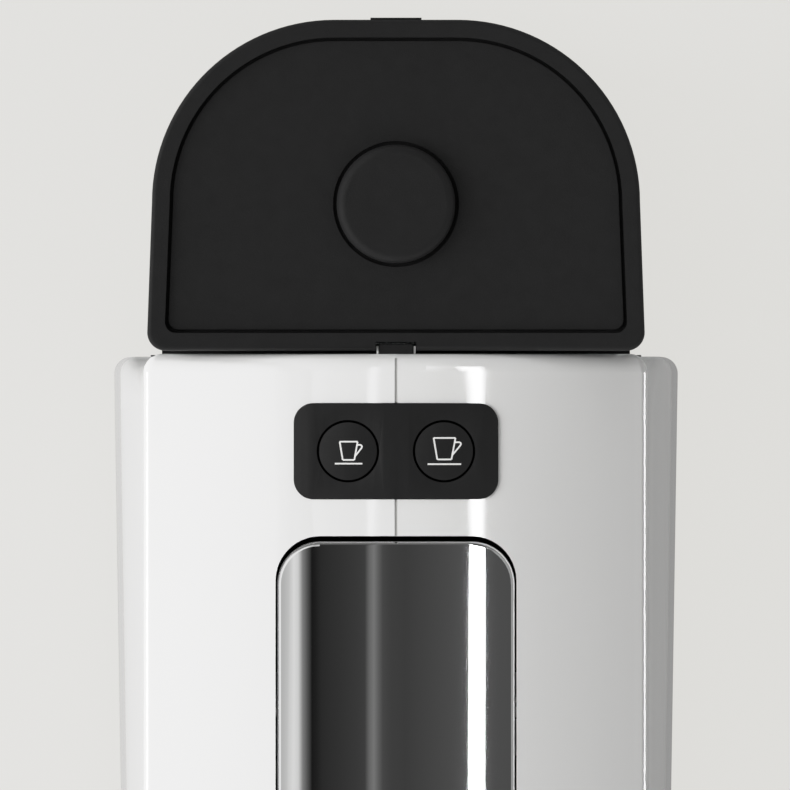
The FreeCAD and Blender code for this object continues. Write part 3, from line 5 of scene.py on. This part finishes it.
import bmesh
import bpy
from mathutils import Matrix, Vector


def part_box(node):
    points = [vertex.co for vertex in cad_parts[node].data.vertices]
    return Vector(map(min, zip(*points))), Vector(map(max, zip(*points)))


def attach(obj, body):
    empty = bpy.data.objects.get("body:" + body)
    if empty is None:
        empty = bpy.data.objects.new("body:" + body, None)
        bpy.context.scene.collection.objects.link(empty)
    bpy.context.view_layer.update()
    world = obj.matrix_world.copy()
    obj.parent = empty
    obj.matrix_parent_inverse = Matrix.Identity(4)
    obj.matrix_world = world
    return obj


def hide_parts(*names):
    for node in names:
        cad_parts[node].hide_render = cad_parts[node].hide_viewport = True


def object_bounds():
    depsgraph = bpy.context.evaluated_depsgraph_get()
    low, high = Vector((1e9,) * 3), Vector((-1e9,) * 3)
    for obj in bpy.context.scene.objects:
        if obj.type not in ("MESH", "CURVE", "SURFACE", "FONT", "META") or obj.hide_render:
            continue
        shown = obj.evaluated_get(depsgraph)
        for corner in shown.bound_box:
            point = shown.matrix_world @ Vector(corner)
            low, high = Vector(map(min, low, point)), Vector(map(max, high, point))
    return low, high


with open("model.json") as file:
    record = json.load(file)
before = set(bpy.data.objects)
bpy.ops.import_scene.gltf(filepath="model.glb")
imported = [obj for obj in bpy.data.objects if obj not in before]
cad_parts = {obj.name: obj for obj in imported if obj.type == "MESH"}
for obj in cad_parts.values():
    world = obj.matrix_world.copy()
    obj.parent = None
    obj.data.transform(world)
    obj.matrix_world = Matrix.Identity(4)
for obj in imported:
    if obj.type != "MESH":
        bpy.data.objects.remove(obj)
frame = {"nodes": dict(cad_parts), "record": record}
cad_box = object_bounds()
nodes = frame["nodes"]
scene = bpy.context.scene

MM = 0.001

# The photo looks straight down: the width it shows, and the point in its middle
PHOTO_SPAN = 151.7 * MM
PHOTO_MIDDLE = Vector((-0.19 * MM, 89.5 * MM, 0))

# Sizes of the solids that the added pieces follow
CROWN_RADIUS = 140 * MM
BUTTON_PROUD = 0.3 * MM
BUTTON_PANEL_LIP = 1.8 * MM
REAR_ROUND = 3.5 * MM
LEVER_GAP = 1.1 * MM
LID_GAP = 0.6 * MM
TRAY_GAP = 2 * MM

SHELLS = ("left_shell", "right_shell")


# Materials

NOISE_LOW, NOISE_HIGH = 0.3, 0.7
EVEN = (1, 1, 1)


class Look:
    """A procedural material around one principled shader."""

    def __init__(self, name, colour, roughness, **settings):
        self.name = name
        self.colour = colour
        self.material = bpy.data.materials.new(name)
        self.material.use_nodes = True
        self.tree = self.material.node_tree
        self.sockets = self.tree.nodes["Principled BSDF"].inputs
        self.sockets["Base Color"].default_value = (*colour, 1)
        self.sockets["Roughness"].default_value = roughness
        for key, value in settings.items():
            socket = key.replace("_", " ").title().replace("Ior", "IOR")
            self.sockets[socket].default_value = value

    def node(self, kind, **inputs):
        """A new node; an input's spaces are written as underscores."""
        made = self.tree.nodes.new(kind)
        for name, value in inputs.items():
            made.inputs[name.replace("_", " ")].default_value = value
        return made

    def link(self, source, target):
        self.tree.links.new(source, target)

    def noise(self, scale, detail, stretch):
        """Noise over the piece's own metres, finer along stretched axes."""
        place = self.node("ShaderNodeTexCoord")
        mapping = self.node("ShaderNodeMapping", Scale=stretch)
        texture = self.node("ShaderNodeTexNoise", Scale=scale, Detail=detail)
        self.link(place.outputs["Object"], mapping.inputs["Vector"])
        self.link(mapping.outputs["Vector"], texture.inputs["Vector"])
        return texture.outputs["Fac"]

    def shade(self, scale, amount, stretch=EVEN):
        """Let the colour drift by a share of itself."""
        mix = self.node("ShaderNodeMix")
        mix.data_type = "RGBA"
        mix.inputs["A"].default_value = (*[c * (1 - amount) for c in self.colour], 1)
        mix.inputs["B"].default_value = (*[min(c * (1 + amount), 1) for c in self.colour], 1)
        self.link(self.noise(scale, 2.0, stretch), mix.inputs["Factor"])
        self.link(mix.outputs["Result"], self.sockets["Base Color"])
        return self

    def wear(self, scale, low, high, stretch=EVEN):
        """Let the roughness drift between two values."""
        ranged = self.node("ShaderNodeMapRange", From_Min=NOISE_LOW, From_Max=NOISE_HIGH, To_Min=low, To_Max=high)
        self.link(self.noise(scale, 4.0, stretch), ranged.inputs["Value"])
        self.link(ranged.outputs["Result"], self.sockets["Roughness"])
        return self

    def grain(self, scale, depth, stretch=EVEN):
        """A bumped surface of a given depth in millimetres."""
        bump = self.node("ShaderNodeBump", Strength=1.0, Distance=depth * MM)
        self.link(self.noise(scale, 2.0, stretch), bump.inputs["Height"])
        self.link(bump.outputs["Normal"], self.sockets["Normal"])
        return self


def make_looks():
    """One material for each finish of the machine."""
    made = (
        Look("white_gloss", (0.84, 0.84, 0.835), 0.05).shade(14, 0.012).wear(60, 0.035, 0.06),
        Look("black_plastic", (0.024, 0.024, 0.0245), 0.5, specular_ior_level=0.25)
        .shade(300, 0.12).wear(900, 0.44, 0.56).grain(4200, 0.03),
        Look("soft_black", (0.024, 0.024, 0.0245), 0.46, specular_ior_level=0.3)
        .shade(260, 0.1).wear(1200, 0.42, 0.5).grain(6000, 0.015),
        Look("grey_plastic", (0.2, 0.2, 0.21), 0.42).shade(120, 0.06).wear(500, 0.38, 0.5).grain(3000, 0.02),
        Look("chrome", (0.8, 0.805, 0.81), 0.04, metallic=1.0).shade(20, 0.01).wear(40, 0.018, 0.021),
        Look("steel", (0.56, 0.56, 0.56), 0.3, metallic=1.0).shade(60, 0.05, (1, 8, 8))
        .wear(400, 0.22, 0.36, (0.05, 1, 1)).grain(2600, 0.004, (0.03, 1, 1)),
        Look("brass", (0.72, 0.5, 0.2), 0.28, metallic=1.0).shade(80, 0.08).wear(300, 0.22, 0.36),
        Look("aluminium", (0.62, 0.63, 0.65), 0.46, metallic=1.0)
        .shade(90, 0.08).wear(400, 0.4, 0.56).grain(1400, 0.06),
        Look("rubber", (0.022, 0.022, 0.022), 0.72).shade(200, 0.15).wear(600, 0.66, 0.8).grain(2500, 0.03),
        Look("circuit_board", (0.02, 0.16, 0.06), 0.34).shade(500, 0.2).wear(700, 0.28, 0.42),
        Look("board_parts", (0.03, 0.03, 0.033), 0.4).shade(300, 0.2).wear(500, 0.34, 0.48),
        Look("clear_plastic", (0.8, 0.83, 0.84), 0.06, transmission_weight=1.0, ior=1.3)
        .shade(30, 0.02).wear(80, 0.04, 0.09),
        # Grey painted shade for the groove between the shells.
        Look("seam_painted_shade", (0.55, 0.55, 0.54), 0.5).shade(200, 0.05).wear(300, 0.45, 0.55),
        # The print also glows a little: painted light that makes the cup marks whiter.
        Look("print_white_painted_glow", (0.97, 0.97, 0.95), 0.5, emission_strength=0.2).shade(900, 0.04).wear(900, 0.45, 0.55),
    )
    return {look.name: look.material for look in made}


looks = make_looks()


# Carried-over solids

SOFT_BLACK_NODES = ("button_panel", "small_cup_button", "large_cup_button")

# Width of the softened edges in millimetres
EDGES = {"tank_lid": 0.35, "button_panel": 0.25, "small_cup_button": 0.3, "large_cup_button": 0.3, "drip_tray": 0.6,
         "cup_grid": 0.4, "pod_bin": 0.5, "coffee_spout": 0.5, "base_plate": 0.5, "tank_dock": 0.5,
         "head_floor": 0.4, "pod_chute": 0.4, "lever_yoke": 0.4}
SHARP_ANGLE = math.radians(40)


def soften(thing, width):
    """Weld a solid and round its sharp edges a little."""
    weld = thing.modifiers.new("weld", "WELD")
    weld.merge_threshold = 0.001 * MM
    bevel = thing.modifiers.new("edges", "BEVEL")
    bevel.width = width * MM
    bevel.segments = 3
    bevel.limit_method = "ANGLE"
    bevel.angle_limit = SHARP_ANGLE
    bevel.harden_normals = True


def dress_solids():
    """Give every carried-over solid its finish, and round the edges of those listed in EDGES."""
    slots = {part["node"]: part["material_slot"] for part in frame["record"]["subparts"]}
    for name, thing in nodes.items():
        finish = "soft_black" if name in SOFT_BLACK_NODES else slots[name]
        thing.data.materials.clear()
        thing.data.materials.append(looks[finish])
        if name in EDGES:
            soften(thing, EDGES[name])


def add_mesh(name, points, faces, look, body):
    """One new piece that rides on a body."""
    mesh = bpy.data.meshes.new(name)
    mesh.from_pydata(points, [], faces)
    mesh.materials.append(looks[look])
    thing = bpy.data.objects.new(name, mesh)
    scene.collection.objects.link(thing)
    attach(thing, body)
    return thing


dress_solids()


# Cup marks on the buttons

PRINT_WIDTH = 0.31 * MM
PRINT_LIFT = 0.03 * MM


def crown_height(x):
    """Height of the button tops at a distance from the middle."""
    radius = CROWN_RADIUS + BUTTON_PROUD
    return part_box("button_panel")[1].z - radius + math.sqrt(radius ** 2 - x ** 2)


def divided(corners, parts):
    """More points along a run of corners, so that it can follow the crown."""
    out = []
    for a, b in zip(corners, corners[1:]):
        out += [(a[0] + (b[0] - a[0]) * k / parts, a[1] + (b[1] - a[1]) * k / parts) for k in range(parts)]
    return out + [corners[-1]]


def stroke(points, faces, corners, parts=6):
    """Add a flat printed line along a run of plan points."""
    path = divided(corners, parts)
    start = len(points)
    for index, here in enumerate(path):
        before = path[max(index - 1, 0)]
        after = path[min(index + 1, len(path) - 1)]
        along = Vector((after[0] - before[0], after[1] - before[1])).normalized()
        for side in (-1, 1):
            x = here[0] - side * along.y * PRINT_WIDTH / 2
            y = here[1] + side * along.x * PRINT_WIDTH / 2
            points.append((x, y, crown_height(x) + PRINT_LIFT))
    faces += [(k, k + 2, k + 3, k + 1) for k in range(start, len(points) - 2, 2)]


def cup_mark(name, node, body, top, foot, levels, handle, saucer):
    """A cup in outline over a saucer line; sizes in millimetres from the button centre.

    top and foot are the left and right ends of the rim and the base, and levels are their heights. handle is its
    upper and lower height and its reach. saucer is its left and right end and its height.
    """
    low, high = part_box(node)
    middle = (low + high) / 2
    rim, base = levels
    upper, lower, reach = handle
    left, right, under = saucer
    bend, nose, drop = 0.35, 0.1, 0.6

    def at(x, y):
        return middle.x + x * MM, middle.y + y * MM

    def wall(y):
        return at(foot[1] + (y - base) * (top[1] - foot[1]) / (rim - base), y)

    points, faces = [], []
    cup = [at(top[0], rim), at(top[1], rim), at(foot[1], base), at(foot[0], base), at(top[0], rim)]
    for side in zip(cup, cup[1:]):
        stroke(points, faces, side)
    stroke(points, faces, [wall(upper), at(reach - bend, upper), at(reach - nose, upper - nose),
                           at(reach, upper - bend), at(reach - nose, upper - drop), wall(lower)], 3)
    stroke(points, faces, [at(left, under), at(right, under)])
    # The marks take the glowing print material: painted light that whitens them.
    add_mesh(name, points, faces, "print_white_painted_glow", body)


cup_mark("small_cup_mark", "small_cup_button", "small_button", top=(-1.6, 1.85), foot=(-1.0, 1.22),
         levels=(1.84, -1.67), handle=(1.22, -1.0, 2.7), saucer=(-2.53, 2.76, -2.38))
cup_mark("large_cup_mark", "large_cup_button", "large_button", top=(-2.0, 2.2), foot=(-1.3, 1.42),
         levels=(2.55, -1.57), handle=(1.73, -0.75, 3.25), saucer=(-3.15, 3.28, -2.48))


# Painted shade in the line between the shells

SEAM_FILL = 0.1 * MM
SEAM_HALF = 0.24 * MM
SEAM_TURNS = [math.radians(degrees) for degrees in range(0, 55, 5)]


def painted_seam_shade_strip():
    """A pale grey strip just below the top in the line between the shells, bent into the rear rounding; its grey is
    painted shade standing in for the groove.
    """
    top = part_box("left_shell")[1].z - SEAM_FILL
    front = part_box("lever_cover")[1].y + LEVER_GAP
    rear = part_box("tank_lid")[0].y - LID_GAP - REAR_ROUND
    panel_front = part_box("button_panel")[0].y + BUTTON_PANEL_LIP
    panel_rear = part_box("button_panel")[1].y - BUTTON_PANEL_LIP
    bend = [(rear + REAR_ROUND * math.sin(t), top - REAR_ROUND * (1 - math.cos(t))) for t in SEAM_TURNS]
    points, faces = [], []
    for run in ([(front, top), (panel_front, top)], [(panel_rear, top), *bend]):
        start = len(points)
        points += [(x, y, z) for y, z in run for x in (-SEAM_HALF, SEAM_HALF)]
        faces += [(k, k + 1, k + 3, k + 2) for k in range(start, len(points) - 2, 2)]
    add_mesh("painted_seam_shade_strip", points, faces, "seam_painted_shade", "housing")


painted_seam_shade_strip()


# Side panels

PANEL_ROUND = 3.3 * MM
PANEL_SLOPE = 9.5 * MM
PANEL_BOW = 1600 * MM
PANEL_WIDEST = 108 * MM
PANEL_TAPER = math.tan(math.radians(0.9))
PANEL_INSET = 3 * MM
PANEL_TONGUE = 2.2 * MM
PANEL_CHAMFER = 0.5
PANEL_STEP = 5 * MM
BOW_STEP = 6 * MM
EDGE_RINGS = 10


def rounded(corners, parts=8):
    """Outline with its corners turned into arcs; a corner is (y, z, radius)."""
    out = []
    for index, (y, z, radius) in enumerate(corners):
        here = Vector((y, z))
        before = (Vector(corners[index - 1][:2]) - here).normalized()
        after = (Vector(corners[(index + 1) % len(corners)][:2]) - here).normalized()
        half = before.angle(after) / 2
        middle = here + (before + after).normalized() * (radius / math.sin(half))
        start = here + before * (radius / math.tan(half)) - middle
        end = here + after * (radius / math.tan(half)) - middle
        for step in range(parts + 1):
            out.append(middle + start.lerp(end, step / parts).normalized() * radius)
    return out


def spaced(outline, gap):
    """More points on the long runs of a closed outline."""
    out = []
    for a, b in zip(outline, outline[1:] + outline[:1]):
        count = max(1, round((b - a).length / gap))
        out += [a.lerp(b, k / count) for k in range(count)]
    return out


def inward(outline):
    """Direction into a closed outline at each of its points, which run counter-clockwise."""
    out = []
    for index in range(len(outline)):
        along = (outline[(index + 1) % len(outline)] - outline[index - 1]).normalized()
        out.append(Vector((-along.y, along.x)))
    return out


def bow_face(mesh, across):
    """Cut the large face of a cover into level strips and bend them to the bow."""
    sheet = bmesh.new()
    sheet.from_mesh(mesh)
    face = max(sheet.faces, key=lambda f: len(f.verts))
    low = min(v.co.z for v in face.verts)
    high = max(v.co.z for v in face.verts)
    part = bmesh.ops.triangulate(sheet, faces=[face])["faces"]
    cut = {item for f in part for item in (f, *f.edges, *f.verts)}
    levels = round((high - low) / BOW_STEP)
    for step in range(1, levels):
        level = low + (high - low) * step / levels
        cut = bmesh.ops.bisect_plane(sheet, geom=list(cut), plane_co=(0, 0, level), plane_no=(0, 0, 1))["geom"]
    for item in cut:
        if isinstance(item, bmesh.types.BMVert):
            item.co.x = across(item.co.y, item.co.z)
    sheet.to_mesh(mesh)
    sheet.free()


def side_panel(name, side):
    """A bowed cover on the flat of the shell whose upper edge rolls over like a soft chamfer."""
    low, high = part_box(name)
    inner = min(abs(low.x), abs(high.x))
    reach = max(abs(low.x), abs(high.x))
    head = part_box("head_floor")[1].z
    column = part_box("drip_tray")[1].y + TRAY_GAP + PANEL_INSET
    corners = [(column, low.z, 6 * MM), (high.y, low.z, 6 * MM), (high.y, high.z, 10 * MM),
               (low.y, high.z, 16 * MM), (low.y, head, 8 * MM), (column, head, 18 * MM)]
    outline = spaced(rounded(corners), PANEL_STEP)
    ways = inward(outline)
    count = len(outline)

    def face_x(y, z):
        return reach - (z - PANEL_WIDEST) ** 2 / (2 * PANEL_BOW) - (high.y - y) * PANEL_TAPER

    points = [(side * (inner - PANEL_TONGUE), y, z) for y, z in outline]
    for ring in range(EDGE_RINGS + 1):
        turn = ring / EDGE_RINGS * math.pi / 2
        for here, way in zip(outline, ways):
            up = max(-way.y, 0) ** 2
            power = 2 / (2 - PANEL_CHAMFER * up)
            roll = PANEL_ROUND + (PANEL_SLOPE - PANEL_ROUND) * up
            place = here + way * (roll * (1 - math.cos(turn) ** power))
            outer = face_x(*place)
            depth = (outer - inner) * up + min(PANEL_ROUND, outer - inner) * (1 - up)
            points.append((side * (outer - depth * (1 - math.sin(turn) ** power)), *place))
    faces = []
    for ring in range(EDGE_RINGS + 1):
        for k in range(count):
            a, b = ring * count + k, ring * count + (k + 1) % count
            faces.append((a, b, b + count, a + count))
    faces.append(range(len(points) - count, len(points)))
    if side < 0:
        faces = [tuple(reversed(face)) for face in faces]
    cover = add_mesh(name + "_cover", points, faces, "white_gloss", "housing")
    bow_face(cover.data, lambda y, z: side * face_x(y, z))
    cover.data.shade_smooth()
    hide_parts(name)


side_panel("left_side_panel", -1)
side_panel("right_side_panel", 1)


# Studio world

# Brightness of the sky over the degrees from straight up to the right, the same all along the machine
SKY_STRIPS = ((-90, 0.62), (-88, 0.62), (-62, 0.8), (-58, 1.0), (-24, 0.95), (-18.2, 0.5), (-16.9, 0.63),
              (-15.8, 0.95), (-15.2, 0.6), (-14.7, 0.2), (-13.4, 0.011), (-11, 0.03), (-6, 0.05), (-4.6, 0.06),
              (-4.0, 0.22), (-3.4, 0.22), (-2.4, 0.08), (-1, 0.06), (1.5, 0.055), (10.8, 0.09), (24, 0.08),
              (32, 0.41), (88, 0.33), (90, 0.3))
SKY_PEAK = max(value for _, value in SKY_STRIPS)
SKY_COLOUR = (1, 0.995, 0.985, 1)
SKY_FRONT, SKY_REAR = 0.6, 0.16

# Pale band round the horizon, where a low view looks past the floor
HORIZON, HORIZON_SINK = 0.72, 0.075


def studio_world():
    """Soft light with long strips along the machine, seen in its glossy faces."""
    world = bpy.data.worlds.new("studio")
    scene.world = world
    world.use_nodes = True
    tree = world.node_tree

    def feed(socket, value):
        """Set a socket to a number or link another socket to it."""
        if isinstance(value, (int, float)):
            socket.default_value = value
        else:
            tree.links.new(value, socket)

    def math_node(kind, *values):
        made = tree.nodes.new("ShaderNodeMath")
        made.operation = kind
        for socket, value in zip(made.inputs, values):
            feed(socket, value)
        return made.outputs[0]

    def blend(share, low, high, a, b):
        """From a to b while a number climbs from low to high."""
        fade = tree.nodes.new("ShaderNodeMapRange")
        for name, value in (("Value", share), ("From Min", low), ("From Max", high)):
            feed(fade.inputs[name], value)
        mix = tree.nodes.new("ShaderNodeMix")
        mix.data_type = "FLOAT"
        for name, value in (("Factor", fade.outputs["Result"]), ("A", a), ("B", b)):
            feed(mix.inputs[name], value)
        return mix.outputs["Result"]

    split = tree.nodes.new("ShaderNodeSeparateXYZ")
    feed(split.inputs[0], tree.nodes.new("ShaderNodeTexCoord").outputs["Generated"])
    x, y, z = (split.outputs[axis] for axis in "XYZ")
    ramp = tree.nodes.new("ShaderNodeValToRGB")
    feed(ramp.inputs[0], math_node("MULTIPLY_ADD", math_node("ARCTAN2", x, z), 1 / math.pi, 0.5))
    stops = ramp.color_ramp.elements
    while len(stops) < len(SKY_STRIPS):
        stops.new(0.5)
    for stop, (degrees, value) in zip(stops, SKY_STRIPS):
        stop.position = degrees / 180 + 0.5
        stop.color = (value / SKY_PEAK, value / SKY_PEAK, value / SKY_PEAK, 1)
    strips = math_node("MULTIPLY", ramp.outputs["Color"], SKY_PEAK)
    ends = blend(y, -0.1, 0.1, SKY_FRONT, SKY_REAR)
    sky = blend(math_node("ABSOLUTE", y), 0.45, 0.75, strips, ends)
    height = math_node("ABSOLUTE", math_node("ADD", z, HORIZON_SINK))
    back = tree.nodes["Background"]
    feed(back.inputs["Strength"], blend(height, 0.105, 0.125, HORIZON, sky))
    back.inputs["Color"].default_value = SKY_COLOUR


# Lamps

UPPER_MIDDLE = (0, 0, 0.2)
LOWER_MIDDLE = (0, 0, 0.1)
KEY = (-2.35, 0.1, 1.05), UPPER_MIDDLE, (1.2, 2.0)
STRIP_REACH = 3


def area_light(name, place, aim, size, power, receivers=()):
    """A soft lamp that is not mirrored in the glossy faces, for all pieces or for some."""
    data = bpy.data.lights.new(name, "AREA")
    data.shape = "RECTANGLE"
    data.size, data.size_y = size
    data.energy = power
    lamp = bpy.data.objects.new(name, data)
    scene.collection.objects.link(lamp)
    lamp.location = place
    lamp.rotation_euler = (Vector(aim) - Vector(place)).to_track_quat("-Z", "Y").to_euler()
    lamp.visible_glossy = False
    lamp.visible_camera = False
    if receivers:
        group = bpy.data.collections.new(name)
        for node in receivers:
            group.objects.link(nodes[node])
        lamp.light_linking.receiver_collection = group
    return lamp


def gloss_strip(name, degrees, spread, brightness, receivers, length=4.0):
    """A lamp along the machine, turned to the right of straight up, that shows only as a mirrored strip."""
    turn = math.radians(degrees)
    place = Vector((STRIP_REACH * math.sin(turn), 0, STRIP_REACH * math.cos(turn) + UPPER_MIDDLE[2]))
    width = STRIP_REACH * math.radians(spread)
    power = brightness * math.pi * width * length
    lamp = area_light(name, place, UPPER_MIDDLE, (width, length), power, receivers)
    lamp.rotation_euler = (0, turn, 0)
    lamp.visible_glossy = True
    lamp.visible_diffuse = False


studio_world()
area_light("key", *KEY, 27)
area_light("deck_key", *KEY, 80, SHELLS)
area_light("right_fill", (2.2, -0.4, 0.3), LOWER_MIDDLE, (1.0, 1.2), 1.5)
area_light("front_fill", (-0.4, -2.4, 0.5), LOWER_MIDDLE, (1.6, 0.8), 12)
area_light("rear_fill", (0.4, 2.4, 0.5), LOWER_MIDDLE, (1.6, 0.8), 10)
gloss_strip("bright_strip", 12.85, 2.9, 36, (*SHELLS, "lever_cover"))
gloss_strip("faint_strip", -4.2, 0.7, 8, SHELLS)
gloss_strip("right_edge_strip", 84, 16, 30, SHELLS, 1.0)
gloss_strip("left_edge_strip", -84, 16, 30, SHELLS, 1.0)


# Floor, camera and film

FLOOR_REACH = 20
CAMERA_DISTANCE = 6.5
CAMERA_SENSOR = 36
CAMERA_END = 20

# Light over the film's range, and how bright it is shown
FILM_RANGE = 2
FILM_POINTS = ((0.15, 0.3), (0.3, 0.6), (0.4, 0.775), (0.5, 0.84), (0.65, 0.885))


def studio_floor():
    """Pale floor far beyond the picture that lights nothing by itself."""
    look = Look("floor", (0.14, 0.139, 0.134), 0.9, specular_ior_level=0.0,
                emission_color=(1, 0.99, 0.955, 1), emission_strength=0.69).shade(3, 0.006)
    mesh = bpy.data.meshes.new("floor")
    corners = [(x * FLOOR_REACH, y * FLOOR_REACH, 0) for x, y in ((-1, -1), (1, -1), (1, 1), (-1, 1))]
    mesh.from_pydata(corners, [], [(0, 1, 2, 3)])
    mesh.materials.append(look.material)
    floor = bpy.data.objects.new("floor", mesh)
    scene.collection.objects.link(floor)
    floor.visible_diffuse = False
    floor.visible_glossy = False


def studio_camera():
    """Camera straight above, far enough to look along nearly parallel lines."""
    data = bpy.data.cameras.new("camera")
    data.sensor_width = CAMERA_SENSOR
    data.lens = CAMERA_SENSOR * CAMERA_DISTANCE / PHOTO_SPAN
    data.clip_end = CAMERA_END
    camera = bpy.data.objects.new("camera", data)
    scene.collection.objects.link(camera)
    camera.location = (PHOTO_MIDDLE.x, PHOTO_MIDDLE.y, cad_box[1].z + CAMERA_DISTANCE)
    scene.camera = camera


def film_curve():
    """Soft shoulder that keeps the bright side of the white body from burning out."""
    view = scene.view_settings
    view.view_transform = "Standard"
    view.use_curve_mapping = True
    view.curve_mapping.white_level = (FILM_RANGE, FILM_RANGE, FILM_RANGE)
    curve = view.curve_mapping.curves[3]
    curve.points[0].location = (0, 0)
    curve.points[1].location = (1, 1)
    for light, shown in FILM_POINTS:
        curve.points.new(light, shown)
    view.curve_mapping.update()


studio_floor()
studio_camera()
film_curve()
